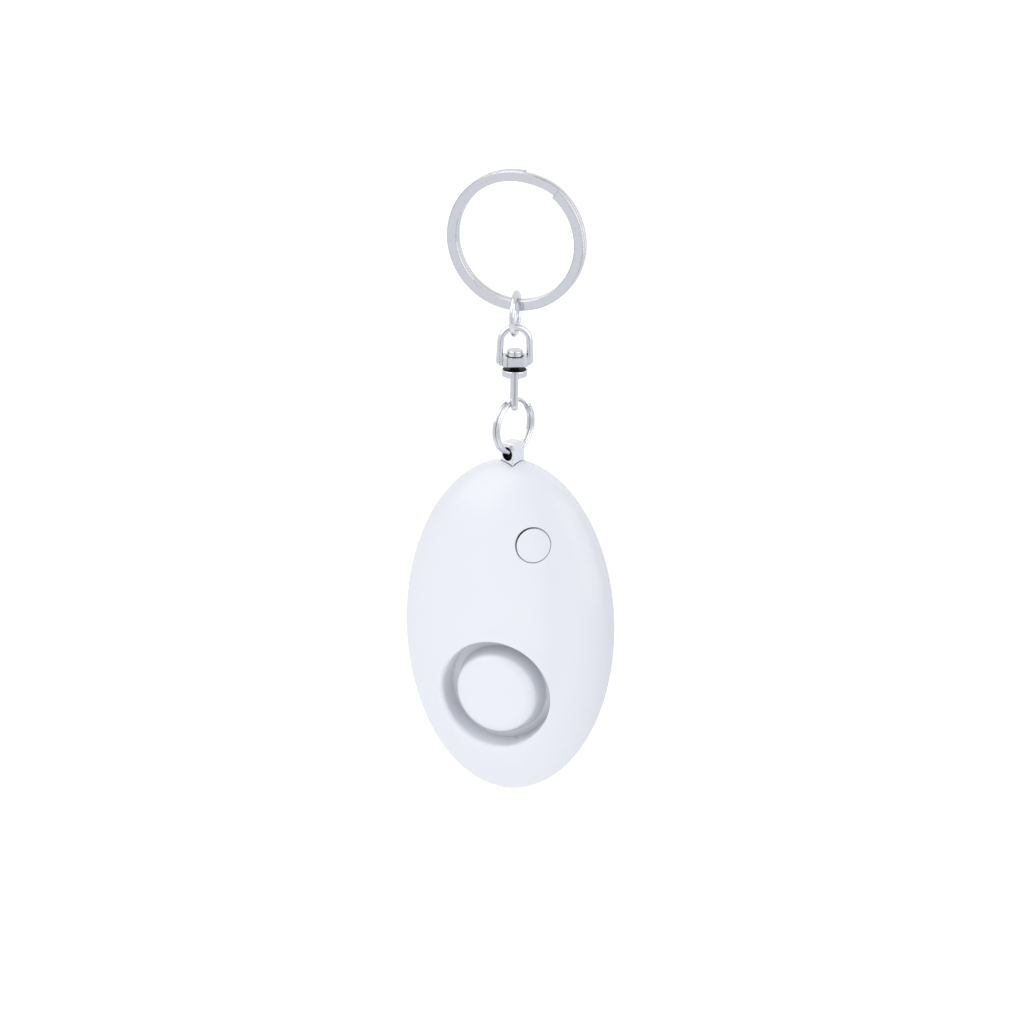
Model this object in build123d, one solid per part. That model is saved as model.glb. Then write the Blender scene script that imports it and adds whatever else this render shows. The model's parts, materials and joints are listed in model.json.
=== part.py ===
from build123d import *
import math
import os

# Personal safety alarm on a key ring, in millimetres. The key ring's centre is the origin, +Z is up
# and the front faces -Y. The chain hangs straight down; the casing's own pieces are drawn about the
# casing's centre and then lowered to their place under the pin. A heading is a direction seen from
# above, in degrees from the front towards +X.

# Key ring: flat wire wound twice round
key_ring_diameter = 25.0
key_band_width = 1.8
key_band_thickness = 0.94
key_band_rounding = 0.16
key_layer_gap = 0.06
key_single_from = 52.0
key_single_to = 84.0

# Jump ring
jump_wire = 0.98
jump_inner_radius = 3.12
jump_sag = 1.7
jump_heading = 9.0

# Swivel: bail, plate, rivet and eye
bail_wire = 1.15
bail_width = 6.2
bail_splay = 2.5
bail_heading = 25.0
bail_drop = 7.33
hang_gap = 0.1
plate_thickness = 1.6
plate_depth = 3.6
plate_width = 4.4
plate_rounding = 0.8
rivet_radius = 0.8
rivet_head_radius = 1.37
rivet_head_height = 1.05
rivet_rounding = 0.22
rivet_clearance = 0.05
swivel_gap = 0.8
eye_disc_radius = 2.2
eye_disc_thickness = 1.25
eye_disc_rounding = 0.2
eye_strap_thickness = 0.85
eye_strap_width = 1.15
eye_strap_rounding = 0.4
eye_outer_width = 5.2
eye_corner_radius = 1.0
eye_drop = 7.2
eye_heading = 22.0

# Small split ring that carries the pin
pin_ring_wire = 0.78
pin_ring_radius = 4.7
pin_ring_layer_gap = 0.03
pin_ring_gap = 0.28
pin_ring_single_from = 41.0
pin_ring_single_to = 110.0
pin_ring_heading = -21.0

# Pull pin: square head with a cross hole, and its round shaft
pin_head_side = 2.9
pin_head_height = 5.2
pin_head_rounding = 0.28
pin_hole_radius = 1.2
pin_hole_below_top = 2.07
pin_hole_slack = 0.12
pin_head_heading = -27.0
pin_radius = 0.75
pin_length = 11.1
pin_tip_rounding = 0.35
pin_root_depth = 1.3
press_gap = 0.01

# Casing; the overrun is how far a cut runs past what it cuts
casing_half_width = 19.0
casing_half_depth = 9.2
casing_half_height = 30.25
wall = 1.6
tongue_height = 0.8
joint_gap = 0.08
overrun = 4.0

# Recess for the pin's head and bore for its shaft, at the top
recess_gap = 0.2
recess_rounding = 0.45
recess_depth = 2.05
recess_floor_thickness = 1.9
recess_wall = 1.37
head_gap = 0.1
socket_radius = 1.6
socket_flange_radius = 2.3
socket_flange_thickness = 0.6
socket_length = 8.5
pin_clearance = 0.05

# Sound groove and the plug that makes its floor; the margin is from the casing's lowest point
groove_margin = 9.75
groove_radius = 10.0
groove_depth = 3.0
groove_rounding = 1.4
skirt_wall = 1.2
skirt_end = -2.4
disc_radius = 7.2
disc_rounding = 0.9
disc_wall = 1.2
floor_thickness = 1.2
sound_slot = 0.35
ear_count = 3
ear_width = 2.4
ear_reach = 0.6
ear_thickness = 0.6
ear_gap = 0.06

# Push button for the lamp
button_x = 6.15
button_below_top = 13.05
button_radius = 2.92
button_gap = 0.18
button_rounding = 0.2
button_travel = 0.4
guide_wall = 1.0
guide_end = -3.5
flange_lip = 0.55
flange_thickness = 0.55
cap_wall = 1.2
cap_core_radius = 2.0
cap_post_radius = 0.9
slide_gap = 0.05

# Circuit board and what it carries; the chip and the coil stand clear of the siren disc
board_front = -0.8
board_thickness = 0.8
board_margin = 2.6
board_half_width = 12.5
board_gap = 0.2
pin_notch_room = 1.6
lamp_notch_width = 5.4
lamp_notch_room = 1.0
siren_clear = 0.4
switch_width = 3.0
switch_height = 3.0
switch_thickness = 1.0
plunger_radius = 0.9
plunger_length = 1.35
chip_width = 4.9
chip_height = 3.9
chip_thickness = 1.45
chip_x = 1.7
lead_pitch = 1.27
lead_length = 1.0
lead_width = 0.4
lead_thickness = 0.2
lead_count = 4
part_width = 1.6
part_height = 0.8
part_thickness = 0.6
part_pitch_x = 2.2
part_pitch_z = 1.4
part_columns = 2
part_rows = 3
coil_radius = 2.5
coil_height = 4.0
coil_core_radius = 1.5
coil_flange = 0.6
coil_x = -6.6

# Siren disc
siren_radius = 11.2
siren_thickness = 0.2
ceramic_radius = 8.5
ceramic_thickness = 0.2
gasket_thickness = 0.4
gasket_gap = 0.1
siren_pin_radius = 0.4
siren_pin_inset = 1.4
siren_pin_rise = 3.5

# Cells and their contacts
cell_count = 2
cell_radius = 10.0
cell_thickness = 2.5
cell_rounding = 0.3
cell_below_top = 23.75
cell_front = 0.7
cup_gap = 0.3
cup_wall = 1.0
cup_front = 1.0
spring_width = 2.4
spring_span = 8.0
spring_thickness = 0.15
contact_thickness = 0.15
contact_gap = 0.12
contact_height = 3.2
contact_arc = 30.0

# Battery cover and its screw
cover_radius = 12.2
cover_skin = 0.85
cover_gap = 0.15
lobe_radius = 2.6
lobe_below_cells = 13.1
cover_screw_radius = 0.78
cover_screw_head_radius = 1.5
cover_screw_head_height = 0.7
cover_screw_sink = 0.1
cover_screw_length = 5.6
cover_post_radius = 2.3
cover_post_front = 1.0
slot_width = 0.4
slot_depth = 0.3
slot_reach_share = 2 / 3

# Screws that hold the casing's halves together; the share is of the casing's half width
screw_x_share = 0.379
screw_margin = 7.45
screw_radius = 0.78
screw_hole_gap = 0.03
screw_head_radius = 1.5
screw_head_height = 1.0
screw_length = 5.4
screw_seat = 2.2
screw_boss_radius = 2.0
screw_bore_gap = 0.2

# Spring leaves that the pin holds apart
leaf_thickness = 0.15
leaf_height = 1.8
leaf_above_tip = 0.2
leaf_depth = 1.1
leaf_pad_width = 0.6

# Lamp and its clear tip
window_radius = 1.6
window_flange_radius = 2.4
window_depth = 3.65
window_gap = 0.04
lamp_radius = 1.5
lamp_length = 3.6
lamp_rim_radius = 1.75
lamp_rim_thickness = 0.6
lamp_gap = 0.2
lamp_lead = 0.45
lamp_lead_pitch = 2.54
lamp_lead_seat = 1.8

# Heights down the chain, each piece hanging on the one above
key_ring_radius = key_ring_diameter / 2 - key_band_width / 2
key_section_z = -key_ring_radius
jump_radius = jump_inner_radius + jump_wire / 2
jump_z = key_section_z - jump_sag
jump_bottom_z = jump_z - jump_radius
bail_top_z = jump_bottom_z + jump_wire / 2 + hang_gap + bail_wire / 2
plate_bottom_z = bail_top_z + bail_wire / 2 - bail_drop
plate_top_z = plate_bottom_z + plate_thickness
eye_disc_top_z = plate_bottom_z - swivel_gap
eye_disc_bottom_z = eye_disc_top_z - eye_disc_thickness
eye_bottom_z = eye_disc_top_z - eye_drop
eye_strap_z = eye_bottom_z + eye_strap_thickness / 2
pin_ring_top_z = eye_bottom_z + eye_strap_thickness + pin_ring_gap + pin_ring_wire / 2
pin_ring_z = pin_ring_top_z - pin_ring_radius
pin_ring_bottom_z = pin_ring_z - pin_ring_radius
pin_hole_z = pin_ring_bottom_z - pin_hole_slack
pin_head_top_z = pin_hole_z + pin_hole_below_top
pin_head_bottom_z = pin_head_top_z - pin_head_height

# Heights inside the casing, from its top and its bottom
recess_floor = casing_half_height - recess_depth
pin_tip_z = recess_floor + head_gap - pin_length
socket_top = recess_floor - press_gap
leaf_z = pin_tip_z + leaf_above_tip
button_z = casing_half_height - button_below_top
screw_z = casing_half_height - screw_margin
cell_z = casing_half_height - cell_below_top
lobe_z = cell_z - lobe_below_cells
groove_z = groove_margin + groove_radius - casing_half_height
siren_top_z = groove_z + siren_radius
chip_z = siren_top_z + siren_clear + lead_length + chip_height / 2
coil_z = siren_top_z + siren_clear + coil_radius
parts_z = coil_z + coil_radius
window_inner_z = window_depth - casing_half_height
lamp_base_z = window_inner_z + lamp_gap + lamp_length
casing_z = pin_head_bottom_z - head_gap - recess_floor

# Other places inside the casing
board_back = board_front + board_thickness
cell_back = cell_front + cell_count * cell_thickness
groove_slot_radius = groove_radius - sound_slot
recess_side = pin_head_side + 2 * recess_gap
boss_radius = recess_side * math.sqrt(1 / 2) + recess_wall
pin_notch = boss_radius + board_gap
screw_x = casing_half_width * screw_x_share
plunger_front = guide_end + slide_gap + flange_thickness + press_gap

# How finely the source looks for an edge, and draws a split ring's crossing
probe_shares = (0.1, 0.35, 0.6, 0.85)
crossing_steps = 8


def box_between(low, high):
    """A block from its low corner to its high corner."""
    size = [h - l for l, h in zip(low, high)]
    middle = [(l + h) / 2 for l, h in zip(low, high)]
    return Pos(*middle) * Box(*size)


def rod_y(radius, y_from, y_to, x=0, z=0):
    """A round bar along Y."""
    return Pos(x, (y_from + y_to) / 2, z) * Rot(90, 0, 0) * Cylinder(radius, y_to - y_from)


def rod_z(radius, z_from, z_to, x=0, y=0):
    """A round bar along Z."""
    return Pos(x, y, (z_from + z_to) / 2) * Cylinder(radius, z_to - z_from)


def egg(inset):
    """The casing's outer form, drawn in by the inset."""
    size = (casing_half_width - inset, casing_half_depth - inset, casing_half_height - inset)
    return scale(Sphere(1), by=size)


def slab_y(y_from, y_to):
    """Everything between two upright planes."""
    x = casing_half_width + overrun
    z = casing_half_height + overrun
    return box_between((-x, y_from, -z), (x, y_to, z))


def front_half():
    return slab_y(-casing_half_depth - overrun, 0)


def back_half():
    return slab_y(0, casing_half_depth + overrun)


def edges_near(shape, radius, x, z, y_low, y_high):
    """The closed edges that lie round an axis along Y at about that radius."""
    found = []
    for edge in shape.edges():
        points = [edge @ share for share in probe_shares]
        spans = [math.hypot(p.X - x, p.Z - z) for p in points]
        inside = all(y_low < p.Y < y_high for p in points)
        if inside and max(abs(s - radius) for s in spans) < press_gap:
            found.append(edge)
    return found


def split_ring(radius, section, pitch, single_from, single_to):
    """Wire wound twice round, whose crossing from front to back lies between the two angles."""
    double_arc = 360 - (single_to - single_from)
    layers = []
    for y in (-pitch / 2, pitch / 2):
        start = Rot(0, -single_from, 0) * Pos(radius, y, 0) * section
        layers.append(revolve(start, axis=Axis.Y, revolution_arc=double_arc))
    sections = []
    for step in range(crossing_steps + 1):
        share = step / crossing_steps
        ease = share * share * (3 - 2 * share)
        angle = single_to + (single_from - single_to) * share
        place = Rot(0, -angle, 0) * Pos(radius, -pitch / 2 + pitch * ease, 0)
        sections.append(place * section)
    return layers[0] + layers[1] + loft(sections)


def make_key_ring():
    section = RectangleRounded(key_band_width, key_band_thickness, key_band_rounding)
    pitch = key_band_thickness + key_layer_gap
    return split_ring(key_ring_radius, section, pitch, key_single_from, key_single_to)


def make_jump_ring():
    ring = Rot(0, 0, jump_heading) * Rot(0, 90, 0) * Torus(jump_radius, jump_wire / 2)
    return Pos(0, 0, jump_z) * ring


def make_swivel_bail():
    """A wire arch on a bored plate."""
    arch_radius = (bail_width - bail_wire) / 2
    arch_z = bail_top_z - arch_radius
    splay = math.radians(bail_splay)
    knee = (arch_radius * math.cos(splay), arch_z + arch_radius * math.sin(splay))
    leg_drop = knee[1] - plate_bottom_z - bail_wire / 2
    foot = (knee[0] + leg_drop * math.tan(splay), plate_bottom_z + bail_wire / 2)
    left_leg = Line((-foot[0], 0, foot[1]), (-knee[0], 0, knee[1]))
    arch = ThreePointArc((-knee[0], 0, knee[1]), (0, 0, bail_top_z), (knee[0], 0, knee[1]))
    right_leg = Line((knee[0], 0, knee[1]), (foot[0], 0, foot[1]))
    path = Wire([left_leg, arch, right_leg])
    start = Plane(origin=path @ 0, x_dir=(0, 1, 0), z_dir=path % 0)
    wire = sweep(start * Circle(bail_wire / 2), path=path)
    for side in (-1, 1):
        wire += Pos(side * foot[0], 0, foot[1]) * Sphere(bail_wire / 2)
    middle_z = (plate_bottom_z + plate_top_z) / 2
    outline = RectangleRounded(plate_width, plate_depth, plate_rounding)
    plate = extrude(outline, plate_thickness / 2, both=True)
    plate += Box(2 * foot[0], bail_wire, plate_thickness)
    bail = wire + Pos(0, 0, middle_z) * plate
    bail -= rod_z(rivet_radius + rivet_clearance, plate_bottom_z - overrun, plate_top_z + overrun)
    return Rot(0, 0, bail_heading) * bail


def make_swivel_rivet():
    head_bottom = plate_top_z + rivet_clearance
    head = rod_z(rivet_head_radius, head_bottom, head_bottom + rivet_head_height)
    head = fillet(head.edges().group_by(Axis.Z)[-1], rivet_rounding)
    return head + rod_z(rivet_radius, eye_disc_bottom_z, head_bottom)


def make_swivel_eye():
    """The round foot of the swivel with its hanging loop."""
    disc = rod_z(eye_disc_radius, eye_disc_bottom_z, eye_disc_top_z)
    disc = fillet(disc.edges().filter_by(GeomType.CIRCLE), eye_disc_rounding)
    side = (eye_outer_width - eye_strap_thickness) / 2
    top = eye_disc_top_z - eye_disc_rounding
    corners = [(-side, 0, top), (-side, 0, eye_strap_z), (side, 0, eye_strap_z), (side, 0, top)]
    path = FilletPolyline(*corners, radius=eye_corner_radius)
    start = Plane(origin=path @ 0, x_dir=(1, 0, 0), z_dir=path % 0)
    strap = RectangleRounded(eye_strap_thickness, eye_strap_width, eye_strap_rounding)
    eye = disc + sweep(start * strap, path=path)
    eye -= rod_z(rivet_radius + press_gap, eye_disc_bottom_z - overrun, eye_disc_top_z + overrun)
    return Rot(0, 0, eye_heading - 90) * eye


def make_pin_ring():
    pitch = pin_ring_wire + pin_ring_layer_gap
    section = Circle(pin_ring_wire / 2)
    ring = split_ring(pin_ring_radius, section, pitch, pin_ring_single_from, pin_ring_single_to)
    return Pos(0, 0, pin_ring_z) * Rot(0, 0, pin_ring_heading + 90) * ring


def make_pin_head():
    """The square block at the pin's end, with a cross hole for the ring."""
    middle_z = (pin_head_top_z + pin_head_bottom_z) / 2
    head = Pos(0, 0, middle_z) * Box(pin_head_side, pin_head_side, pin_head_height)
    head = fillet(head.edges().filter_by(Axis.Z), pin_head_rounding)
    head = fillet(head.edges().group_by(Axis.Z)[-1], pin_head_rounding)
    head -= rod_y(pin_hole_radius, -pin_head_side, pin_head_side, 0, pin_hole_z)
    root_top = pin_head_bottom_z + pin_root_depth + press_gap
    head -= rod_z(pin_radius + press_gap, pin_head_bottom_z - overrun, root_top)
    return Rot(0, 0, pin_head_heading) * head


def make_pin_shaft():
    top = pin_head_bottom_z + pin_root_depth
    shaft = rod_z(pin_radius, pin_head_bottom_z - pin_length, top)
    return fillet(shaft.edges().group_by(Axis.Z)[0], pin_tip_rounding)


def screw_places():
    """The four screws of the casing, as x and z."""
    return [(x, z) for x in (-screw_x, screw_x) for z in (-screw_z, screw_z)]


def pin_boss(gap):
    """The block under the pin's recess, or the room for it when the gap is given."""
    bottom = recess_floor - recess_floor_thickness - gap
    return rod_z(boss_radius + gap, bottom, casing_half_height + overrun)


def cut_pin_recess(shell):
    """Cuts the square recess that the pin's head stands in, and the bore under it."""
    half = recess_side / 2
    recess = box_between((-half, -half, recess_floor), (half, half, casing_half_height + overrun))
    recess = fillet(recess.edges().filter_by(Axis.Z), recess_rounding)
    shell -= Rot(0, 0, pin_head_heading) * recess
    return shell - rod_z(socket_radius + press_gap, 0, recess_floor + press_gap)


def cut_window_hole(shell):
    return shell - rod_z(window_radius + window_gap, -casing_half_height - overrun, window_inner_z)


def ear_angles():
    return [90 + 360 * k / ear_count for k in range(ear_count)]


def ear_block(angle, reach, width):
    """A radial block from under the groove's floor out to the reach."""
    inner = groove_slot_radius - floor_thickness
    block = box_between((inner, -casing_half_depth, -width / 2), (reach, 0, width / 2))
    return Pos(0, 0, groove_z) * Rot(0, -angle, 0) * block


def make_front_shell():
    """Front half of the casing, with the groove's wall, the button's guide and the screw bosses."""
    y_far = -casing_half_depth - overrun
    blank = egg(0) & slab_y(y_far, tongue_height)
    tongue = egg(wall / 2 + joint_gap) - pin_boss(joint_gap)
    blank -= slab_y(0, tongue_height + overrun) - tongue
    cavity = egg(wall) - rod_y(groove_radius + skirt_wall, y_far, skirt_end, 0, groove_z)
    cavity -= rod_y(button_radius + button_gap + guide_wall, y_far, guide_end, button_x, button_z)
    cavity -= pin_boss(0) & front_half()
    for x, z in screw_places():
        cavity -= rod_y(screw_boss_radius, y_far, board_front, x, z)
    shell = blank - cavity
    shell -= rod_y(groove_radius, y_far, overrun, 0, groove_z)
    rim = edges_near(shell, groove_radius, 0, groove_z, y_far, skirt_end)
    outer_rim = sorted(rim, key=lambda edge: edge.center().Y)[:1]
    shell = fillet(outer_rim, groove_rounding)
    shell -= rod_y(button_radius + button_gap, y_far, 0, button_x, button_z)
    for x, z in screw_places():
        hole_end = screw_seat - screw_length - screw_hole_gap
        shell -= rod_y(screw_radius + screw_hole_gap, hole_end, 0, x, z)
    for angle in ear_angles():
        reach = groove_radius + ear_reach + ear_gap
        pocket = ear_block(angle, reach, ear_width + 2 * ear_gap)
        shell -= pocket & egg(groove_depth + floor_thickness - ear_thickness - ear_gap)
    return cut_window_hole(cut_pin_recess(shell))


def make_horn_plug():
    """The disc in the groove's middle and the groove's floor, moulded as one hollow piece."""
    y_far = -casing_half_depth - overrun
    disc = rod_y(disc_radius, y_far, 0, 0, groove_z) & egg(0)
    rim = edges_near(disc, disc_radius, 0, groove_z, y_far, skirt_end)
    disc = fillet(rim, disc_rounding)
    floor = rod_y(groove_slot_radius, y_far, 0, 0, groove_z) & egg(groove_depth)
    plug = disc + floor
    plug -= rod_y(disc_radius - disc_wall, y_far, 0, 0, groove_z) & egg(disc_wall)
    for angle in ear_angles():
        ear = ear_block(angle, groove_radius + ear_reach, ear_width)
        plug += ear & egg(groove_depth + floor_thickness - ear_thickness)
    plug -= egg(groove_depth + floor_thickness)
    return plug & slab_y(y_far, skirt_end)


def cover_outline(y_from, y_to, gap):
    """The battery cover's outline: a round door with a lobe for its screw."""
    outline = rod_y(cover_radius + gap, y_from, y_to, 0, cell_z)
    return outline + rod_y(lobe_radius + gap, y_from, y_to, 0, lobe_z)


def make_back_shell():
    """Back half of the casing, with the cell cup, the cover's ledge and the screw bosses."""
    y_far = casing_half_depth + overrun
    cup_radius = cell_radius + cup_gap
    cup = rod_y(cup_radius + cup_wall, cup_front, y_far, 0, cell_z) - rod_y(cup_radius, 0, y_far, 0, cell_z)
    rebate = egg(wall / 2) & slab_y(-overrun, tongue_height + joint_gap)
    cavity = egg(wall) + rebate - cup
    cavity -= rod_y(cover_post_radius, cover_post_front, y_far, 0, lobe_z)
    cavity -= pin_boss(0)
    for x, z in screw_places():
        cavity -= rod_y(screw_boss_radius, -overrun, y_far, x, z)
    shell = (egg(0) & back_half()) - cavity
    shell -= rod_y(cup_radius, cup_front, y_far, 0, cell_z)
    shell -= cover_outline(0, y_far, cover_gap) - egg(cover_skin + joint_gap)
    post_hole_end = cover_screw_top() - cover_screw_length - screw_hole_gap
    shell -= rod_y(cover_screw_radius + screw_hole_gap, post_hole_end, y_far, 0, lobe_z)
    for x, z in screw_places():
        shell -= rod_y(screw_radius + screw_bore_gap, -overrun, y_far, x, z)
        shell -= rod_y(screw_head_radius + screw_bore_gap, screw_seat, y_far, x, z)
    return cut_window_hole(cut_pin_recess(shell))


def cover_screw_top():
    """Height of the cover screw's head face, just under the casing's surface at the lobe."""
    lift = math.sqrt(1 - (lobe_z / casing_half_height) ** 2)
    return casing_half_depth * lift - cover_screw_sink


def cover_screw_cone(gap):
    """The countersunk head, or its seat when the gap is given."""
    top = cover_screw_top()
    cone = Cone(cover_screw_radius + gap, cover_screw_head_radius + gap, cover_screw_head_height)
    return Pos(0, top - cover_screw_head_height / 2, lobe_z) * Rot(-90, 0, 0) * cone


def make_battery_cover():
    y_far = casing_half_depth + overrun
    lid = (cover_outline(0, y_far, 0) & egg(0)) - egg(cover_skin)
    inner_radius = cell_radius + cup_gap - cover_gap
    lid += (rod_y(inner_radius, 0, y_far, 0, cell_z) & egg(cover_skin / 2)) - egg(wall)
    lid -= rod_y(cell_radius + cover_gap, 0, cell_back + cover_gap, 0, cell_z)
    lid -= cover_screw_cone(joint_gap)
    lid -= rod_y(cover_screw_head_radius + joint_gap, cover_screw_top(), y_far, 0, lobe_z)
    return lid - rod_y(cover_screw_radius + joint_gap, 0, y_far, 0, lobe_z)


def cross_slot(y_face, x, z):
    """A cross cut into a screw head from its face."""
    reach = screw_head_radius * slot_reach_share
    slot = Box(2 * reach, 2 * slot_depth, slot_width) + Box(slot_width, 2 * slot_depth, 2 * reach)
    return Pos(x, y_face, z) * slot


def make_battery_cover_screw():
    top = cover_screw_top()
    screw = cover_screw_cone(0)
    screw += rod_y(cover_screw_radius, top - cover_screw_length, top - cover_screw_head_height, 0, lobe_z)
    return screw - cross_slot(top, 0, lobe_z)


def make_case_screws():
    """Four pan-head screws, put in from the back."""
    screws = []
    for x, z in screw_places():
        screw = rod_y(screw_radius, screw_seat - screw_length, screw_seat, x, z)
        screw += rod_y(screw_head_radius, screw_seat, screw_seat + screw_head_height, x, z)
        screws.append(screw - cross_slot(screw_seat + screw_head_height, x, z))
    return Compound(children=screws)


def make_light_button():
    """The cap, flush with the casing, with a flange that stops it from falling out."""
    y_far = -casing_half_depth - overrun
    cap = rod_y(button_radius, y_far, 0, button_x, button_z) & egg(0)
    rim = edges_near(cap, button_radius, button_x, button_z, y_far, skirt_end)
    cap = fillet(rim, button_rounding)
    flange_front = guide_end + slide_gap
    flange_back = flange_front + flange_thickness
    cap &= slab_y(y_far, flange_back)
    core = rod_y(cap_core_radius, y_far, 0, button_x, button_z) & egg(cap_wall)
    core -= rod_y(cap_post_radius, y_far, 0, button_x, button_z)
    cap -= core
    flange = rod_y(button_radius + flange_lip, flange_front, flange_back, button_x, button_z)
    flange -= rod_y(cap_core_radius, y_far, 0, button_x, button_z)
    return cap + flange


def make_switch_plunger():
    return rod_y(plunger_radius, plunger_front, plunger_front + plunger_length, button_x, button_z)


def make_light_switch():
    front = board_front - switch_thickness
    low = (button_x - switch_width / 2, front, button_z - switch_height / 2)
    high = (button_x + switch_width / 2, board_front, button_z + switch_height / 2)
    hole_end = plunger_front + plunger_length + button_travel + slide_gap
    hole = rod_y(plunger_radius + slide_gap, front - overrun, hole_end, button_x, button_z)
    return box_between(low, high) - hole


def make_circuit_board():
    """The board, shaped to the casing, notched for the pin and the lamp, held by the four screws."""
    middle = (board_front + board_back) / 2
    flat = Rot(90, 0, 0) * Ellipse(casing_half_width - board_margin, casing_half_height - board_margin)
    board = Pos(0, middle, 0) * extrude(flat, board_thickness / 2, both=True)
    z_far = casing_half_height
    board &= box_between((-board_half_width, board_front, -z_far), (board_half_width, board_back, z_far))
    board -= box_between((-pin_notch, -overrun, pin_tip_z - pin_notch_room), (pin_notch, overrun, z_far))
    notch = lamp_notch_width / 2
    board -= box_between((-notch, -overrun, -z_far), (notch, overrun, lamp_notch_top()))
    for x, z in screw_places():
        board -= rod_y(screw_radius + screw_bore_gap, -overrun, overrun, x, z)
    return board


def lamp_notch_top():
    return lamp_base_z + lamp_rim_thickness + lamp_notch_room


def make_control_chip():
    low = (chip_x - chip_width / 2, board_front - chip_thickness, chip_z - chip_height / 2)
    high = (chip_x + chip_width / 2, board_front - lead_thickness / 2, chip_z + chip_height / 2)
    chip = box_between(low, high)
    for k in range(lead_count):
        x = chip_x + (k - (lead_count - 1) / 2) * lead_pitch
        reach = chip_height / 2 + lead_length
        foot_low = (x - lead_width / 2, board_front - lead_thickness, chip_z - reach)
        foot_high = (x + lead_width / 2, board_front, chip_z + reach)
        chip += box_between(foot_low, foot_high)
    return chip


def make_board_parts():
    """Small parts in rows on the front of the board."""
    parts = []
    for column in range(part_columns):
        for row in range(part_rows):
            x = coil_x + (column - (part_columns - 1) / 2) * part_pitch_x
            z = parts_z + part_height + row * part_pitch_z
            low = (x - part_width / 2, board_front - part_thickness, z - part_height / 2)
            high = (x + part_width / 2, board_front, z + part_height / 2)
            parts.append(box_between(low, high))
    return Compound(children=parts)


def make_step_up_coil():
    """A drum core that stands on the board."""
    end = board_front - coil_height
    coil = rod_y(coil_core_radius, end, board_front, coil_x, coil_z)
    coil += rod_y(coil_radius, end, end + coil_flange, coil_x, coil_z)
    return coil + rod_y(coil_radius, board_front - coil_flange, board_front, coil_x, coil_z)


def siren_front():
    return skirt_end + gasket_thickness


def make_siren_gasket():
    ring = rod_y(groove_radius + skirt_wall, skirt_end, siren_front(), 0, groove_z)
    return ring - rod_y(groove_radius + gasket_gap, skirt_end - overrun, 0, 0, groove_z)


def make_siren_plate():
    return rod_y(siren_radius, siren_front(), siren_front() + siren_thickness, 0, groove_z)


def make_siren_ceramic():
    start = siren_front() + siren_thickness
    return rod_y(ceramic_radius, start, start + ceramic_thickness, 0, groove_z)


def make_siren_contacts():
    """Two spring pins: one presses on the ceramic, the other on the plate's rim."""
    plate_back = siren_front() + siren_thickness
    rim_x = siren_pin_inset - siren_radius
    to_plate = rod_y(siren_pin_radius, plate_back, board_front, rim_x, groove_z)
    ceramic_z = groove_z + siren_pin_rise
    to_ceramic = rod_y(siren_pin_radius, plate_back + ceramic_thickness, board_front, 0, ceramic_z)
    return Compound(children=[to_plate, to_ceramic])


def make_coin_cells():
    cells = []
    for k in range(cell_count):
        front = cell_front + k * cell_thickness
        cell = rod_y(cell_radius, front, front + cell_thickness, 0, cell_z)
        cells.append(fillet(cell.edges().group_by(Axis.Y)[0], cell_rounding))
    return Compound(children=cells)


def make_battery_spring():
    """A bowed leaf whose ends rest on the board and whose top presses on the cells."""
    half = spring_span / 2
    rise = cell_front - board_back - press_gap
    outer = ThreePointArc((-half, 0), (0, rise), (half, 0))
    lower = half - spring_thickness
    inner = ThreePointArc((lower, 0), (0, rise - spring_thickness), (-lower, 0))
    bow = make_face([outer, Line((half, 0), (lower, 0)), inner, Line((-lower, 0), (-half, 0))])
    leaf = extrude(bow, spring_width / 2, both=True)
    return Pos(0, board_back, cell_z) * leaf


def make_battery_contact():
    """A curved strip that stands on the board and touches the side of the cells."""
    inner = cell_radius + contact_gap
    top = board_back + contact_height
    ring = rod_y(inner + contact_thickness, board_back, top, 0, cell_z)
    ring -= rod_y(inner, board_back - overrun, top + overrun, 0, cell_z)
    half = inner * math.sin(math.radians(contact_arc / 2))
    low = (-inner - overrun, board_back, cell_z - half)
    return ring & box_between(low, (0, top, cell_z + half))


def make_pin_socket():
    """The guide tube of the pin, with a flange under the recess's floor."""
    boss_bottom = recess_floor - recess_floor_thickness
    flange_top = boss_bottom - press_gap
    tube = rod_z(socket_radius, socket_top - socket_length, socket_top)
    tube += rod_z(socket_flange_radius, flange_top - socket_flange_thickness, flange_top)
    return tube - rod_z(pin_radius + pin_clearance, 0, casing_half_height)


def make_contact_leaves():
    """Two spring leaves on the board, one on each side of the pin."""
    leaves = []
    inner = pin_radius + pin_clearance
    z_top = leaf_z + leaf_height
    for side in (-1, 1):
        blade_x = sorted((side * inner, side * (inner + leaf_thickness)))
        arm_x = sorted((side * inner, side * (pin_notch + leaf_pad_width)))
        blade = box_between(
            (blade_x[0], board_front - leaf_thickness, leaf_z),
            (blade_x[1], board_front + leaf_depth, z_top),
        )
        arm = box_between((arm_x[0], board_front - leaf_thickness, leaf_z), (arm_x[1], board_front, z_top))
        leaves.append(blade + arm)
    return Compound(children=leaves)


def make_light_window():
    """A clear tip with a flange inside the casing."""
    tip = rod_z(window_radius, -casing_half_height, window_inner_z) & egg(0)
    flange = rod_z(window_flange_radius, -casing_half_height, window_inner_z) & egg(wall + window_gap)
    return tip + flange


def make_torch_led():
    """A round lamp that points down, with its two leads laid on the board."""
    tip = lamp_base_z - lamp_length
    lamp = rod_z(lamp_radius, tip + lamp_radius, lamp_base_z)
    lamp += Pos(0, 0, tip + lamp_radius) * Sphere(lamp_radius)
    lamp += rod_z(lamp_rim_radius, lamp_base_z, lamp_base_z + lamp_rim_thickness)
    for side in (-1, 1):
        x = side * lamp_lead_pitch / 2
        low = (x - lamp_lead / 2, board_back, lamp_base_z)
        high = (x + lamp_lead / 2, board_back + lamp_lead, lamp_notch_top() + lamp_lead_seat)
        lamp += box_between(low, high)
    return lamp


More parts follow.
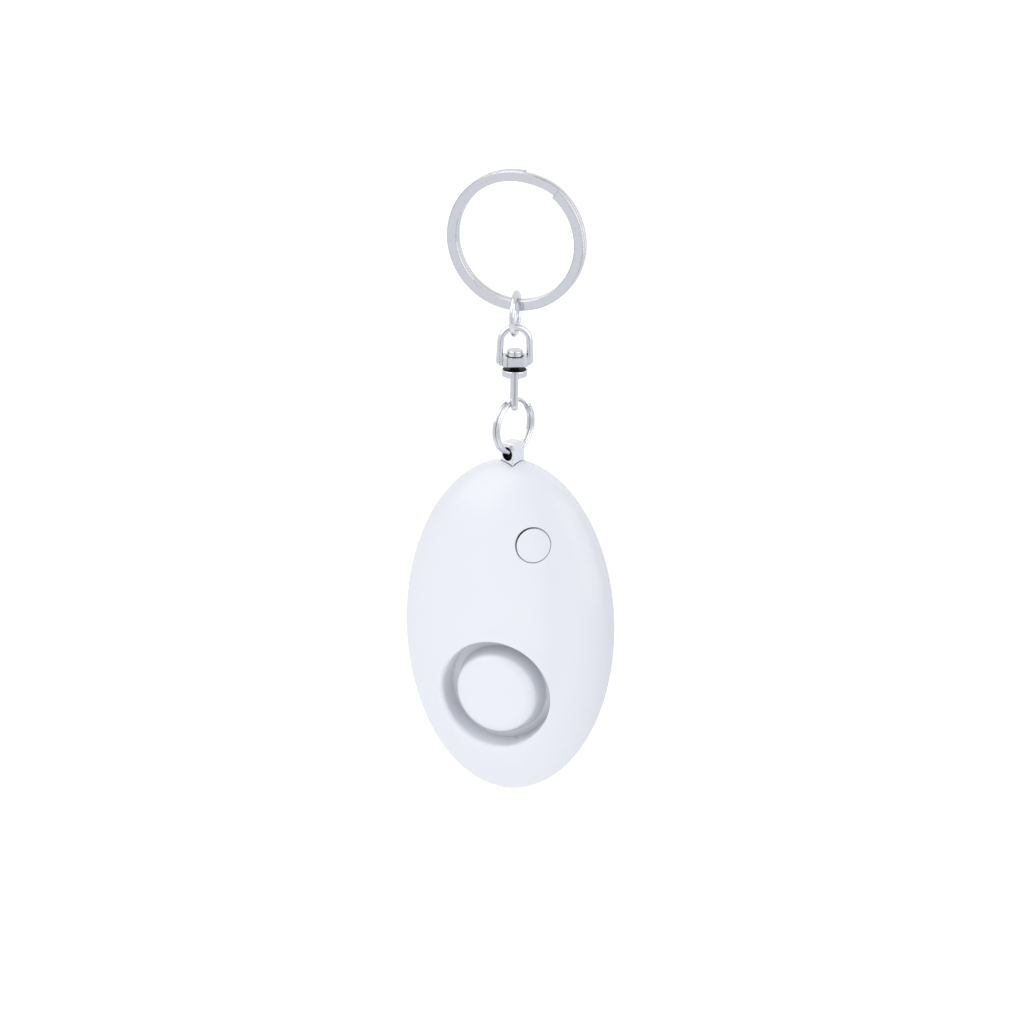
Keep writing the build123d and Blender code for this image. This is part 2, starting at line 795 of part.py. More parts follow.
def in_casing(shape):
    """Lowers a piece drawn about the casing's centre to its place under the pin."""
    return Pos(0, 0, casing_z) * shape


chain_makers = {
    "key_ring": make_key_ring,
    "jump_ring": make_jump_ring,
    "swivel_bail": make_swivel_bail,
    "swivel_rivet": make_swivel_rivet,
    "swivel_eye": make_swivel_eye,
    "pin_ring": make_pin_ring,
    "pin_head": make_pin_head,
    "pin_shaft": make_pin_shaft,
}

casing_makers = {
    "front_shell": make_front_shell,
    "back_shell": make_back_shell,
    "horn_plug": make_horn_plug,
    "battery_cover": make_battery_cover,
    "battery_cover_screw": make_battery_cover_screw,
    "case_screws": make_case_screws,
    "light_button": make_light_button,
    "switch_plunger": make_switch_plunger,
    "light_switch": make_light_switch,
    "circuit_board": make_circuit_board,
    "control_chip": make_control_chip,
    "board_parts": make_board_parts,
    "step_up_coil": make_step_up_coil,
    "siren_plate": make_siren_plate,
    "siren_ceramic": make_siren_ceramic,
    "siren_gasket": make_siren_gasket,
    "siren_contacts": make_siren_contacts,
    "coin_cells": make_coin_cells,
    "battery_spring": make_battery_spring,
    "battery_contact": make_battery_contact,
    "pin_socket": make_pin_socket,
    "contact_leaves": make_contact_leaves,
    "light_window": make_light_window,
    "torch_led": make_torch_led,
}

os.makedirs("parts", exist_ok=True)
for node, maker in chain_makers.items():
    export_step(maker(), f"parts/{node}.step")
for node, maker in casing_makers.items():
    export_step(in_casing(maker()), f"parts/{node}.step")

print("casing centre z", round(casing_z, 3), "lowest z", round(casing_z - casing_half_height, 3))
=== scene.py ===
import json
import math

import bpy
from mathutils import Matrix, Vector


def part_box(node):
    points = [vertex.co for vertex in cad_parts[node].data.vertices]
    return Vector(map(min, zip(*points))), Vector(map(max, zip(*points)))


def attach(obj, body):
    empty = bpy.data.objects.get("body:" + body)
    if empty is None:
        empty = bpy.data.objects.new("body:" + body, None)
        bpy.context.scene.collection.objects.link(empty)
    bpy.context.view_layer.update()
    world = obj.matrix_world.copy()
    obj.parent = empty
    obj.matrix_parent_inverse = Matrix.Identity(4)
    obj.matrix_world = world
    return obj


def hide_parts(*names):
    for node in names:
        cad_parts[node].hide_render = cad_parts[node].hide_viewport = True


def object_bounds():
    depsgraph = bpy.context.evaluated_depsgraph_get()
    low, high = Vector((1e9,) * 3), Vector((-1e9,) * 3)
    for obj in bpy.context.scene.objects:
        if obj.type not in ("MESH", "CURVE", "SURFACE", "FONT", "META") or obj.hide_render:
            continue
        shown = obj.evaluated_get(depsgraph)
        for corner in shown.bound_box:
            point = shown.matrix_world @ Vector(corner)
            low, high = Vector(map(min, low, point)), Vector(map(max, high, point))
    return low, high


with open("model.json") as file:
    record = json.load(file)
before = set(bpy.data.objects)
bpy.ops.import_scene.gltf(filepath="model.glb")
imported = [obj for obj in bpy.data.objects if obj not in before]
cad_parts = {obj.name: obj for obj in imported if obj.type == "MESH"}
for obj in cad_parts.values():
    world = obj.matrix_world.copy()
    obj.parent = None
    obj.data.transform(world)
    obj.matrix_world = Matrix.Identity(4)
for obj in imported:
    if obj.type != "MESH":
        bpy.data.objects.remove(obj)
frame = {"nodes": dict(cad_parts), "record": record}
cad_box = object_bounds()

# Personal safety alarm on a key ring, hanging. Lengths are in metres, written as millimetres times MM.
MM = 0.001

# The photograph's camera: it looks at the casing from the right and from above, slightly rolled
camera_azimuth = 18.4
camera_elevation = 18.29
camera_roll = math.radians(0.95)
camera_distance = 1540.5 * MM
camera_reach = 50
pixels_per_metre = 5.701 / MM
picture_side = 1024
sensor_width = 36.0
aim_right = 0.295 * MM
aim_up = 19.58 * MM

# The casing's egg, placed by the frame: its tip is the lamp's window, and its depth is the battery
# cover's. The pieces made here stay behind the front limit.
casing_half_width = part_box("front_shell")[1].x
casing_half_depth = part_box("battery_cover")[1].y
casing_half_height = 30.25 * MM
casing_centre = Vector((0, 0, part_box("light_window")[0].z + casing_half_height))
front_limit = cad_box[0][1]

# Sound trough: radii and depths below the casing's surface. Its rim is sharp on the side of the sharp
# heading and rounded, as the casing's own edge, on the other side.
groove_z = -10.5 * MM
trough_back = -2.5 * MM
disc_flat_radius = 5.6 * MM
disc_shoulder_radius = 7.35 * MM
disc_rounding_depth = 1.35 * MM
disc_foot_radius = 8.08 * MM
disc_flat_steps = 24
disc_rounding_steps = 12
floor_depth = 3.9 * MM
wall_foot_radius = 9.35 * MM
wall_top_radius = 9.985 * MM
wall_top_depth = 1.4 * MM
block_depth = 4.6 * MM
casing_edge_radius = 10.0 * MM
casing_edge_rounding = 1.4 * MM
sharp_heading = math.radians(48)
sharp_from = -0.75
sharp_to = 0.1
sharp_radius = 9.86 * MM
sharp_shift_x = 0.05 * MM
sharp_bevel_width = 0.05 * MM
sharp_bevel_depth = 0.1 * MM
lip_proud = 0.004 * MM
lip_buried = 0.02 * MM
lip_thickness = 0.15 * MM
lip_end_radius = 12.9 * MM
lip_end_depth = 0.02 * MM
lip_steps = 24

# Push button: its cap sits a little to one side of its hole, and its flange is behind the casing's wall
button_x = 6.15 * MM
button_z = 17.2 * MM
cap_shift_x = 0.09 * MM
cap_shift_z = -0.09 * MM
cap_radius = 2.88 * MM
cap_rounding = 0.16 * MM
cap_flat_steps = 14
cap_rounding_steps = 8
flange_radius = 3.4 * MM
flange_front = -3.45 * MM
flange_back = -2.9 * MM

# How finely a piece is turned, and the angle from which its edges are drawn sharp
grid_turns = 192
crease_angle = math.radians(40)

# Masks and noise: a span is where a mask starts and where it is full
no_stretch = (1, 1, 1)
cloud_detail = 3.0
fine_detail = 4.0
metal_harshness = 0.6

# Plastic: a faint cloud, hairline rubs, painted shade in recesses by the share of the egg's size, and the
# halves' seam
plastic_cloud_size = 9 * MM
plastic_cloud_span = (0.1, 0.9)
plastic_gloss_spread = 0.04
rub_size = 0.5 * MM
rub_harshness = 0.65
rub_stretch = (1, 1, 0.12)
rub_span = (0.60, 0.74)
rub_dullness = 0.05
coat_roughness = 0.12
# Painted shade in recesses: where its mask starts and is full, and its colour
painted_recess_shade_span = (0.975, 0.62)
painted_recess_shade_colour = (0.11, 0.105, 0.09)
seam_half_width = 0.035 * MM
seam_share = 0.7
seam_colour = (0.30, 0.30, 0.32)

# Metal: uneven gloss, tarnished spots, fine hairs and painted dark reflections along the edges. The edge's
# span is the cosine of the surface's turn.
metal_cloud_size = 3.5 * MM
metal_cloud_span = (0.3, 0.7)
metal_gloss_spread = 0.25
tarnish_size = 0.5 * MM
tarnish_span = (0.56, 0.72)
tarnish_dullness = 0.07
hair_size = 0.22 * MM
hair_depth = 0.0006 * MM
upright_hairs = (1, 1, 0.1)
painted_edge_reflection_span = (0.97, 0.76)
painted_edge_reflection_colour = (0.10, 0.10, 0.11)
metal_edge = 0.16 * MM
metal_edge_share = 0.4
ring_edge = 0.36 * MM
ring_edge_share = 0.8
pin_edge_share = 0.75

# Painted shade, near black and dull: in the swivel's gap, round the rivet's head and in the pin's cross
# hole
painted_gap_shade_colour = (0.02, 0.02, 0.023)
shaded_gap_dullness = 0.3
swivel_gap_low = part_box("swivel_eye")[1].z
swivel_gap_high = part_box("swivel_bail")[0].z
plate_thickness = 1.6 * MM
plate_level_span = (0.05 * MM, 0.16 * MM)
rivet_head_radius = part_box("swivel_rivet")[1].x
rivet_ring_from = 0.05 * MM
rivet_ring_to = 0.4 * MM
pin_hole_radius = 1.2 * MM
pin_hole_below_top = 2.07 * MM
pin_hole_skin = 0.01 * MM
pin_head_heading = math.radians(-27)
dark_edge = 0.04 * MM

# The lamp's milky clear tip
clear_cloud_size = 0.6 * MM
clear_cloud_span = (0.3, 0.7)
clear_gloss = (0.10, 0.24)
clear_relief = 0.004 * MM
clear_colour = (0.93, 0.95, 0.98, 1)
clear_transmission = 0.75
clear_ior = 1.49

# The room
floor_z = -1700 * MM
floor_half = 12.0
floor_colour = (0.86, 0.86, 0.87, 1)
floor_glow = 0.7
floor_glow_mirrored = 0.65
card_distance = 2.2
card_half_width = 0.2
card_half_height = 1.7
card_colour = (0.05, 0.05, 0.055, 1)
sky_colour = (0.93, 0.94, 1.0, 1)
sky_strength = 0.6
white = (1, 1, 1, 1)
lamp_distance = 1.5
lamp_side = 1.5

# Each lamp's name, azimuth, elevation, power, and whether reflections show it
lamps = (
    ("key", -50, 45, 9.8, True),
    ("fill", 75, 20, 7.5, True),
    ("low", -10, -35, 10.5, False),
    ("back", 180, 45, 9.3, False),
)


def direction(azimuth, elevation):
    """From the object to a place seen at these angles in degrees; azimuth 0 is in front of it."""
    azimuth, elevation = math.radians(azimuth), math.radians(elevation)
    flat = math.cos(elevation)
    return Vector((math.sin(azimuth) * flat, -math.cos(azimuth) * flat, math.sin(elevation)))


class Graph:
    """A material's or the world's nodes, with short ways to add and join them."""

    def __init__(self, owner):
        owner.use_nodes = True
        self.tree = owner.node_tree
        self.tree.nodes.clear()

    def set(self, socket, value):
        if isinstance(value, bpy.types.NodeSocket):
            self.tree.links.new(value, socket)
        else:
            socket.default_value = value

    def node(self, kind, **inputs):
        node = self.tree.nodes.new(kind)
        for name, value in inputs.items():
            self.set(node.inputs[name.replace("_", " ")], value)
        return node

    def place(self, stretch=no_stretch):
        """The surface's point in the row frame, stretched."""
        coordinates = self.node("ShaderNodeTexCoord").outputs["Object"]
        return self.node("ShaderNodeMapping", Vector=coordinates, Scale=stretch).outputs["Vector"]

    def noise(self, size, detail=2.0, harshness=0.5, stretch=no_stretch):
        texture = self.node("ShaderNodeTexNoise", Vector=self.place(stretch), Scale=1 / size)
        self.set(texture.inputs["Detail"], detail)
        self.set(texture.inputs["Roughness"], harshness)
        return texture.outputs["Fac"]

    def span(self, value, low, high, out_low=0.0, out_high=1.0):
        """The value's stretch from low to high, laid on another stretch and kept inside it."""
        node = self.node("ShaderNodeMapRange", Value=value)
        ends = {"From Min": low, "From Max": high, "To Min": out_low, "To Max": out_high}
        for name, number in ends.items():
            node.inputs[name].default_value = number
        return node.outputs["Result"]

    def math(self, operation, first, second):
        node = self.tree.nodes.new("ShaderNodeMath")
        node.operation = operation
        self.set(node.inputs[0], first)
        self.set(node.inputs[1], second)
        return node.outputs["Value"]

    def blend(self, share, first, second):
        node = self.tree.nodes.new("ShaderNodeMix")
        node.data_type = "RGBA"
        self.set(node.inputs[0], share)
        for socket, colour in ((node.inputs[6], first), (node.inputs[7], second)):
            self.set(socket, colour if isinstance(colour, bpy.types.NodeSocket) else (*colour, 1))
        return node.outputs[2]

    def bevel(self, radius):
        """The surface's normal, rounded off over this radius at the edges."""
        return self.node("ShaderNodeBevel", Radius=radius).outputs["Normal"]

    def bump(self, height, depth, edge=0.0):
        """A normal with fine relief and, where an edge radius is given, softened edges."""
        node = self.node("ShaderNodeBump", Height=height, Distance=depth)
        if edge:
            self.set(node.inputs["Normal"], self.bevel(edge))
        return node.outputs["Normal"]

    def near_edge(self, edge, most):
        """Where the surface turns within the edge radius, up to the most in the corner itself: the mask of
        the painted dark edge reflections.
        """
        turn = self.node("ShaderNodeVectorMath", Vector=self.bevel(edge))
        turn.operation = "DOT_PRODUCT"
        self.set(turn.inputs[1], self.node("ShaderNodeNewGeometry").outputs["Normal"])
        return self.span(turn.outputs["Value"], *painted_edge_reflection_span, 0.0, most)

    def finish(self, shader, kind="ShaderNodeOutputMaterial"):
        output = self.tree.nodes.new(kind)
        self.tree.links.new(shader.outputs[0], output.inputs["Surface"])


def depth_in_casing(graph, most):
    """The share of painted shade by depth: none at the casing's outer surface, and the most some
    millimetres below it.
    """
    centre = graph.node("ShaderNodeVectorMath", Vector=graph.place())
    centre.operation = "SUBTRACT"
    centre.inputs[1].default_value = casing_centre
    egg = graph.node("ShaderNodeVectorMath", Vector=centre.outputs["Vector"])
    egg.operation = "DIVIDE"
    egg.inputs[1].default_value = (casing_half_width, casing_half_depth, casing_half_height)
    reach = graph.node("ShaderNodeVectorMath", Vector=egg.outputs["Vector"])
    reach.operation = "LENGTH"
    return graph.span(reach.outputs["Value"], *painted_recess_shade_span, 0.0, most)


def seam_line(graph):
    """The fine line where the casing's two halves meet."""
    across = graph.node("ShaderNodeSeparateXYZ", Vector=graph.place()).outputs["Y"]
    level = graph.math("ABSOLUTE", across, 0.0)
    return graph.span(level, seam_half_width, 2 * seam_half_width, seam_share, 0.0)


def plastic(name, colour, tint, roughness, grain, depth, coat=0.0, painted_recess_shade=0.0):
    """Moulded plastic: faint cloud, uneven gloss, fine grain, rubs, and painted shade in what lies deep."""
    material = bpy.data.materials.new(name)
    graph = Graph(material)
    cloud = graph.noise(plastic_cloud_size, cloud_detail)
    fine = graph.noise(grain)
    rubs = graph.noise(rub_size, fine_detail, rub_harshness, rub_stretch)
    low, high = roughness - plastic_gloss_spread, roughness + plastic_gloss_spread
    gloss = graph.span(cloud, *plastic_cloud_span, low, high)
    gloss = graph.math("ADD", gloss, graph.span(rubs, *rub_span, 0.0, rub_dullness))
    colours = graph.blend(graph.span(cloud, *plastic_cloud_span), colour, tint)
    # Painted shade in recesses, darker the deeper the surface lies below the casing's egg; the seam is the
    # halves' dark joint
    if painted_recess_shade:
        colours = graph.blend(depth_in_casing(graph, painted_recess_shade), colours, painted_recess_shade_colour)
        colours = graph.blend(seam_line(graph), colours, seam_colour)
    shader = graph.node("ShaderNodeBsdfPrincipled", Roughness=gloss, Normal=graph.bump(fine, depth))
    graph.set(shader.inputs["Base Color"], colours)
    shader.inputs["Coat Weight"].default_value = coat
    shader.inputs["Coat Roughness"].default_value = coat_roughness
    graph.finish(shader)
    return material


def metal(name, colour, dull, roughness, brush=no_stretch, painted_shade=None,
          edge=metal_edge, edge_share=metal_edge_share):
    """Plated metal: uneven gloss, faint spots, fine hairs, painted dark reflections on edges, and painted
    shade in gaps and holes.
    """
    material = bpy.data.materials.new(name)
    graph = Graph(material)
    cloud = graph.noise(metal_cloud_size, cloud_detail)
    tarnish = graph.span(graph.noise(tarnish_size, fine_detail, metal_harshness), *tarnish_span)
    hairs = graph.noise(hair_size, fine_detail, metal_harshness, brush)
    low, high = roughness * (1 - metal_gloss_spread), roughness * (1 + metal_gloss_spread)
    gloss = graph.span(cloud, *metal_cloud_span, low, high)
    gloss = graph.math("ADD", gloss, graph.math("MULTIPLY", tarnish, tarnish_dullness))
    colours = graph.blend(tarnish, colour, dull)
    # Painted dark reflection lines where the surface turns at the edges
    colours = graph.blend(graph.near_edge(edge, edge_share), colours, painted_edge_reflection_colour)
    # Painted shade, near black and rougher, where gaps and holes lie in shade
    if painted_shade:
        share = painted_shade(graph)
        colours = graph.blend(share, colours, painted_gap_shade_colour)
        gloss = graph.math("ADD", gloss, graph.math("MULTIPLY", share, shaded_gap_dullness))
    relief = graph.bump(hairs, hair_depth, edge)
    shader = graph.node("ShaderNodeBsdfPrincipled", Roughness=gloss, Normal=relief)
    shader.inputs["Metallic"].default_value = 1.0
    graph.set(shader.inputs["Base Color"], colours)
    graph.finish(shader)
    return material


def clear(name):
    """Milky clear plastic of the lamp's tip."""
    material = bpy.data.materials.new(name)
    graph = Graph(material)
    cloud = graph.noise(clear_cloud_size, cloud_detail)
    gloss = graph.span(cloud, *clear_cloud_span, *clear_gloss)
    relief = graph.bump(cloud, clear_relief)
    shader = graph.node("ShaderNodeBsdfPrincipled", Roughness=gloss, Normal=relief)
    shader.inputs["Base Color"].default_value = clear_colour
    shader.inputs["Transmission Weight"].default_value = clear_transmission
    shader.inputs["IOR"].default_value = clear_ior
    graph.finish(shader)
    return material


def distance(graph, first, second):
    """The length of the two sides' diagonal."""
    squares = [graph.math("MULTIPLY", value, value) for value in (first, second)]
    return graph.math("SQRT", graph.math("ADD", *squares), 0.0)


def swivel_painted_shade(graph):
    """Painted shade in the gap under the plate, and a painted shadow ring on the plate round the rivet's
    head.
    """
    axes = graph.node("ShaderNodeSeparateXYZ", Vector=graph.place()).outputs
    above = graph.span(axes["Z"], swivel_gap_low - dark_edge, swivel_gap_low)
    below = graph.span(axes["Z"], swivel_gap_high, swivel_gap_high + dark_edge, 1.0, 0.0)
    gap = graph.math("MULTIPLY", above, below)
    radius = distance(graph, axes["X"], axes["Y"])
    inner, outer = rivet_head_radius + rivet_ring_from, rivet_head_radius + rivet_ring_to
    ring = graph.span(radius, inner, outer, 1.0, 0.0)
    plate_top = swivel_gap_high + plate_thickness
    level = graph.math("ABSOLUTE", graph.math("SUBTRACT", axes["Z"], plate_top), 0.0)
    ring = graph.math("MULTIPLY", ring, graph.span(level, *plate_level_span, 1.0, 0.0))
    return graph.math("MAXIMUM", gap, ring)


def pin_painted_shade(graph):
    """Painted shade inside the cross hole."""
    axes = graph.node("ShaderNodeSeparateXYZ", Vector=graph.place()).outputs
    hole_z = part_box("pin_head")[1].z - pin_hole_below_top
    along_x = graph.math("MULTIPLY", axes["X"], math.cos(pin_head_heading))
    along_y = graph.math("MULTIPLY", axes["Y"], math.sin(pin_head_heading))
    side = graph.math("ADD", along_x, along_y)
    radius = distance(graph, side, graph.math("SUBTRACT", axes["Z"], hole_z))
    return graph.span(radius, pin_hole_radius + pin_hole_skin, pin_hole_radius + dark_edge, 1.0, 0.0)


def make_plastics():
    shell, tint = (0.795, 0.81, 0.845), (0.785, 0.80, 0.85)
    # Slot: colour, the cloud's colour, roughness, the grain's size and depth, coat and painted recess shade
    rows = {
        "shell_plastic": (shell, tint, 0.30, 0.35 * MM, 0.002 * MM, 0.25, 0.2),
        "button_plastic": (shell, tint, 0.27, 0.3 * MM, 0.002 * MM, 0.25, 0.2),
        "black_plastic": ((0.03, 0.03, 0.033), (0.04, 0.04, 0.045), 0.5, 0.2 * MM, 0.006 * MM),
        "part_ceramic": ((0.50, 0.40, 0.28), (0.42, 0.33, 0.23), 0.45, 0.15 * MM, 0.004 * MM),
        "board_laminate": ((0.02, 0.17, 0.06), (0.03, 0.21, 0.08), 0.32, 0.3 * MM, 0.006 * MM),
        "ferrite": ((0.05, 0.048, 0.046), (0.08, 0.075, 0.07), 0.6, 0.12 * MM, 0.01 * MM),
        "siren_ceramic": ((0.80, 0.78, 0.72), (0.72, 0.70, 0.64), 0.4, 0.2 * MM, 0.003 * MM),
        "foam_rubber": ((0.04, 0.04, 0.04), (0.06, 0.06, 0.06), 0.9, 0.12 * MM, 0.02 * MM),
    }
    return {name: plastic(name, *row) for name, row in rows.items()}


def make_metals():
    nickel, bright, dull = (0.65, 0.66, 0.70), (0.80, 0.81, 0.86), (0.56, 0.57, 0.62)
    # Slot: colour, the tarnish's colour, roughness, and for some the hairs' stretch and the places of
    # painted shade
    rows = {
        "ring_steel": (nickel, dull, 0.12),
        "swivel_chrome": (nickel, dull, 0.22, upright_hairs, swivel_painted_shade),
        "pin_chrome": (bright, dull, 0.10, upright_hairs, pin_painted_shade),
        "screw_steel": ((0.60, 0.61, 0.63), (0.42, 0.42, 0.44), 0.28),
        "siren_brass": ((0.72, 0.53, 0.22), (0.55, 0.38, 0.15), 0.3),
        "contact_brass": ((0.72, 0.57, 0.30), (0.60, 0.45, 0.22), 0.25),
        "cell_steel": ((0.68, 0.69, 0.71), (0.55, 0.56, 0.58), 0.3),
    }
    edges = {
        "ring_steel": {"edge": ring_edge, "edge_share": ring_edge_share},
        "pin_chrome": {"edge_share": pin_edge_share},
    }
    return {name: metal(name, *row, **edges.get(name, {})) for name, row in rows.items()}


def dress_cad_nodes(materials):
    """Each node takes the material of its slot in the record."""
    for row in frame["record"]["subparts"]:
        mesh = frame["nodes"][row["node"]].data
        mesh.materials.clear()
        mesh.materials.append(materials[row["material_slot"]])


def surface_y(x, z):
    """The y of the casing's front surface, with z from the casing's centre."""
    inside = 1 - (x / casing_half_width) ** 2 - (z / casing_half_height) ** 2
    return -casing_half_depth * math.sqrt(inside)


def below_surface(profile, heading, centre_x, centre_z):
    """The rows of (radius, depth below the casing's surface) as rows of (radius, y)."""
    rows = []
    for radius, depth in profile:
        x, z = centre_x + radius * math.cos(heading), centre_z + radius * math.sin(heading)
        rows.append((radius, max(surface_y(x, z) + depth, front_limit)))
    return rows


def quarter_arc(start, end, steps):
    """A quarter ellipse between two profile points, that leaves the first one sideways."""
    points = []
    for step in range(steps + 1):
        turn = math.pi / 2 * step / steps
        radius = start[0] + (end[0] - start[0]) * math.sin(turn)
        depth = start[1] + (end[1] - start[1]) * (1 - math.cos(turn))
        points.append((radius, depth))
    return points


def turned_faces(rows, last):
    """The faces between the headings' rows, closed at the first and the last point."""
    faces = []
    for turn in range(grid_turns):
        here, after = 1 + turn * rows, 1 + (turn + 1) % grid_turns * rows
        faces.append((0, here, after))
        for row in range(rows - 1):
            faces.append((here + row, here + row + 1, after + row + 1, after + row))
        faces.append((here + rows - 1, last, after + rows - 1))
    return faces


def turned_piece(name, profile_at, centre_x, centre_z):
    """A closed form turned about an axis along Y, from the rows of (radius, y) of each heading."""
    profiles = []
    for turn in range(grid_turns):
        heading = 2 * math.pi * turn / grid_turns
        points = []
        for radius, y in profile_at(heading):
            z = casing_centre.z + centre_z + radius * math.sin(heading)
            points.append((centre_x + radius * math.cos(heading), y, z))
        profiles.append(points)
    verts = [profiles[0][0]]
    for points in profiles:
        verts += points[1:-1]
    verts.append(profiles[0][-1])
    mesh = bpy.data.meshes.new(name)
    mesh.from_pydata(verts, [], turned_faces(len(profiles[0]) - 2, len(verts) - 1))
    mesh.validate()
    mesh.shade_smooth()
    piece = bpy.data.objects.new(name, mesh)
    bpy.context.scene.collection.objects.link(piece)
    return piece


def casing_edge_depth(radius):
    """How deep the rounded edge of the casing's hole lies at this radius."""
    inward = casing_edge_radius + casing_edge_rounding - radius
    inward = min(max(inward, 0), casing_edge_rounding)
    return casing_edge_rounding - math.sqrt(casing_edge_rounding ** 2 - inward ** 2)


def sharpness(heading):
    """1 where the trough's rim is sharp, and 0 where it lies under the casing's rounded edge."""
    lean = (math.cos(heading - sharp_heading) - sharp_from) / (sharp_to - sharp_from)
    lean = min(max(lean, 0), 1)
    return lean * lean * (3 - 2 * lean)


def lip(heading):
    """The trough's rim: flush with the casing where it is sharp, and just under its surface elsewhere."""
    sharp = sharpness(heading)
    edge = sharp_radius + sharp_shift_x * math.cos(heading)
    top_radius = wall_top_radius + (edge - wall_top_radius) * sharp
    rows = [(top_radius, wall_top_depth * (1 - sharp) + sharp_bevel_depth * sharp)]
    start = top_radius + sharp_bevel_width * sharp
    rounded_to = casing_edge_radius + casing_edge_rounding
    for step in range(lip_steps + 1):
        radius = start + (lip_end_radius - start) * step / lip_steps
        past_edge = max((radius - rounded_to) / (lip_end_radius - rounded_to), 0)
        flush = -lip_proud + (lip_end_depth + lip_proud) * past_edge
        buried = casing_edge_depth(radius) + lip_buried
        rows.append((radius, buried * (1 - sharp) + flush * sharp))
    return rows


def make_sound_trough(materials):
    """The domed disc, the trough's floor and its sloping outer wall up to the rim."""
    flat = (disc_flat_radius, 0)
    shoulder = (disc_shoulder_radius, disc_rounding_depth)

    def profile_at(heading):
        rows = [(disc_flat_radius * step / disc_flat_steps, 0) for step in range(disc_flat_steps)]
        rows += quarter_arc(flat, shoulder, disc_rounding_steps)
        rows += [(disc_foot_radius, floor_depth), (wall_foot_radius, floor_depth)]
        rows += lip(heading)
        rows += [
            (lip_end_radius, lip_buried + lip_thickness),
            (casing_edge_radius, wall_top_depth + 2 * lip_thickness),
            (casing_edge_radius, block_depth),
        ]
        return below_surface(rows, heading, 0, groove_z) + [(0, trough_back)]
    trough = turned_piece("sound_trough", profile_at, 0, groove_z)
    finish_piece(trough, materials, "shell_plastic", "casing", "horn_plug")


def make_button_cap(materials):
    """The button's cap, which follows the casing's surface and has a softened edge, with its flange."""
    centre_x, centre_z = button_x + cap_shift_x, button_z + cap_shift_z
    flat = cap_radius - cap_rounding

    def profile_at(heading):
        rows = [(flat * step / cap_flat_steps, 0) for step in range(cap_flat_steps)]
        rows += quarter_arc((flat, 0), (cap_radius, cap_rounding), cap_rounding_steps)
        rows = below_surface(rows, heading, centre_x, centre_z)
        rows += [(cap_radius, flange_front), (flange_radius, flange_front)]
        return rows + [(flange_radius, flange_back), (0, flange_back)]
    cap = turned_piece("button_cap", profile_at, centre_x, centre_z)
    finish_piece(cap, materials, "button_plastic", "light_button", "light_button")


def finish_piece(piece, materials, slot, body, *nodes):
    piece.data.set_sharp_from_angle(angle=crease_angle)
    piece.data.materials.append(materials[slot])
    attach(piece, body)
    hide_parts(*nodes)


def make_camera():
    """The camera stands where the photograph's camera stood."""
    towards = direction(camera_azimuth, camera_elevation)
    right = Vector((0, 0, 1)).cross(towards).normalized()
    up = towards.cross(right)
    rolled_right = math.cos(camera_roll) * right + math.sin(camera_roll) * up
    rolled_up = math.cos(camera_roll) * up - math.sin(camera_roll) * right
    aim = casing_centre + aim_right * rolled_right + aim_up * rolled_up
    place = casing_centre + camera_distance * towards
    back = (place - aim).normalized()
    across = (rolled_right - rolled_right.dot(back) * back).normalized()
    matrix = Matrix((across, back.cross(across), back)).transposed().to_4x4()
    matrix.translation = place
    data = bpy.data.cameras.new("camera")
    data.sensor_width = sensor_width
    data.lens = pixels_per_metre * camera_distance * sensor_width / picture_side
    data.clip_end = camera_reach
    camera = bpy.data.objects.new("camera", data)
    camera.matrix_world = matrix
    bpy.context.scene.collection.objects.link(camera)
    bpy.context.scene.camera = camera


def make_lamp(name, azimuth, elevation, power, mirrored):
    """A soft square lamp that faces the object; reflections show it where it is mirrored."""
    data = bpy.data.lights.new(name, "AREA")
    data.shape = "SQUARE"
    data.size = lamp_side
    data.energy = power
    lamp = bpy.data.objects.new(name, data)
    towards = direction(azimuth, elevation)
    lamp.matrix_world = towards.to_track_quat("Z", "Y").to_matrix().to_4x4()
    lamp.location = casing_centre + lamp_distance * towards
    lamp.visible_glossy = mirrored
    bpy.context.scene.collection.objects.link(lamp)


def seen_directly(graph, mirrored=1.0):
    """1 for the camera and through clear pieces, the mirrored share in reflections, and 0 for the light."""
    path = graph.node("ShaderNodeLightPath").outputs
    seen = graph.math("MAXIMUM", path["Is Camera Ray"], path["Is Transmission Ray"])
    return graph.math("MAXIMUM", seen, graph.math("MULTIPLY", path["Is Glossy Ray"], mirrored))


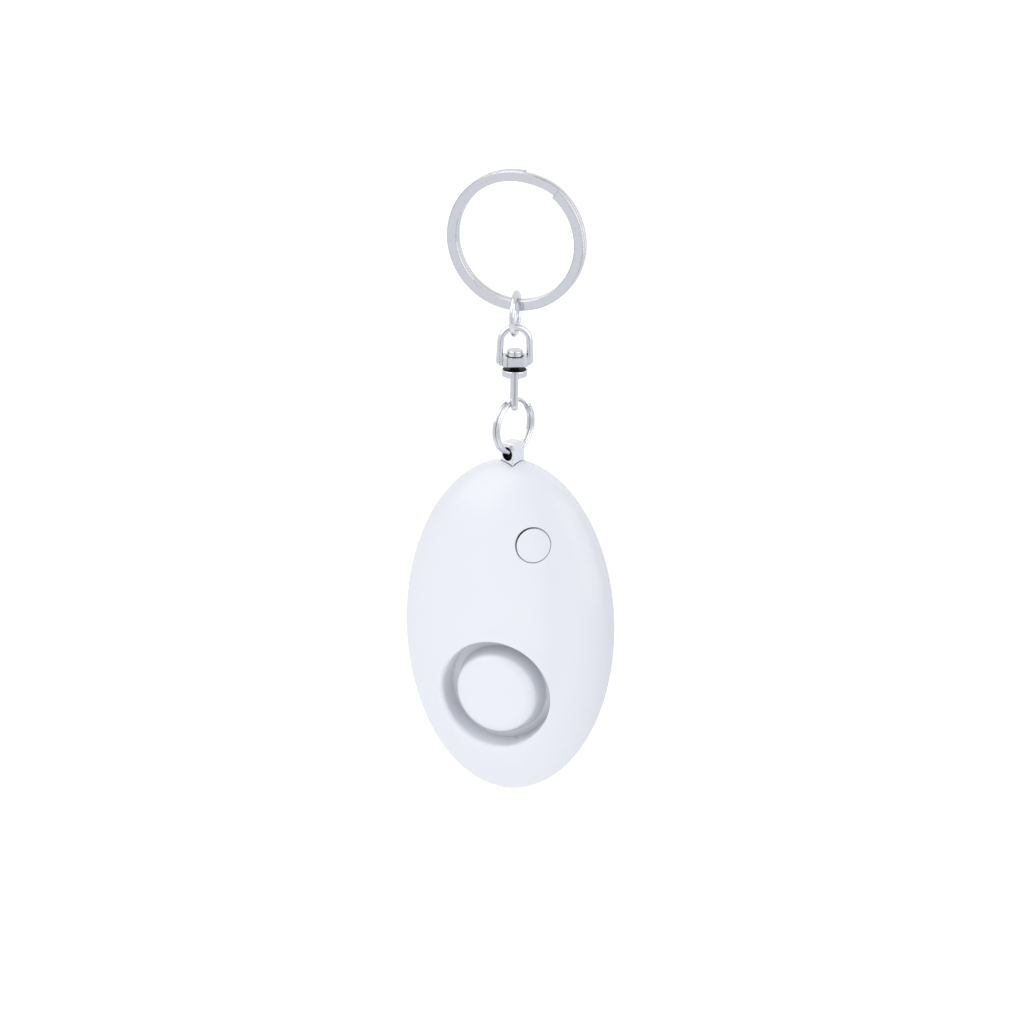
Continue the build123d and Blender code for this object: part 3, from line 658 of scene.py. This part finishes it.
def make_world():
    """A soft sky that lights the object, and plain white where the background is seen."""
    world = bpy.data.worlds.new("studio")
    graph = Graph(world)
    lit = graph.node("ShaderNodeBackground", Color=sky_colour, Strength=sky_strength)
    seen = graph.node("ShaderNodeBackground", Color=white, Strength=1.0)
    mix = graph.node("ShaderNodeMixShader", Fac=seen_directly(graph))
    graph.set(mix.inputs[1], lit.outputs[0])
    graph.set(mix.inputs[2], seen.outputs[0])
    graph.finish(mix, "ShaderNodeOutputWorld")
    bpy.context.scene.world = world


def stage_piece(name, verts):
    """One flat face of the room, and its material's nodes."""
    mesh = bpy.data.meshes.new(name)
    mesh.from_pydata(verts, [], [tuple(range(len(verts)))])
    piece = bpy.data.objects.new(name, mesh)
    bpy.context.scene.collection.objects.link(piece)
    material = bpy.data.materials.new(name)
    mesh.materials.append(material)
    return piece, Graph(material)


def make_floor():
    """A pale floor under the hanging object, white to the camera where no shadow falls."""
    signs = ((-1, -1), (1, -1), (1, 1), (-1, 1))
    corners = [(x * floor_half, y * floor_half, floor_z) for x, y in signs]
    graph = stage_piece("floor", corners)[1]
    paper = graph.node("ShaderNodeBsdfDiffuse", Color=floor_colour)
    strength = graph.math("MULTIPLY", seen_directly(graph, floor_glow_mirrored), floor_glow)
    glow = graph.node("ShaderNodeEmission", Strength=strength)
    both = graph.tree.nodes.new("ShaderNodeAddShader")
    graph.set(both.inputs[0], paper.outputs[0])
    graph.set(both.inputs[1], glow.outputs[0])
    graph.finish(both)


def make_card():
    """A tall dark card behind the camera, seen only in reflections: it draws thin lines in the metal."""
    towards = direction(camera_azimuth, 0)
    across = Vector((0, 0, 1)).cross(towards) * card_half_width
    up = Vector((0, 0, card_half_height))
    middle = casing_centre + card_distance * towards
    signs = ((-1, -1), (1, -1), (1, 1), (-1, 1))
    card, graph = stage_piece("dark_card", [middle + a * across + b * up for a, b in signs])
    graph.finish(graph.node("ShaderNodeBsdfDiffuse", Color=card_colour))
    card.visible_camera = False
    card.visible_diffuse = False
    card.visible_transmission = False
    card.visible_shadow = False


materials = {**make_plastics(), **make_metals(), "clear_plastic": clear("clear_plastic")}
dress_cad_nodes(materials)
make_sound_trough(materials)
make_button_cap(materials)
make_camera()
for lamp in lamps:
    make_lamp(*lamp)
make_world()
make_floor()
make_card()
bpy.context.scene.view_settings.view_transform = "Standard"
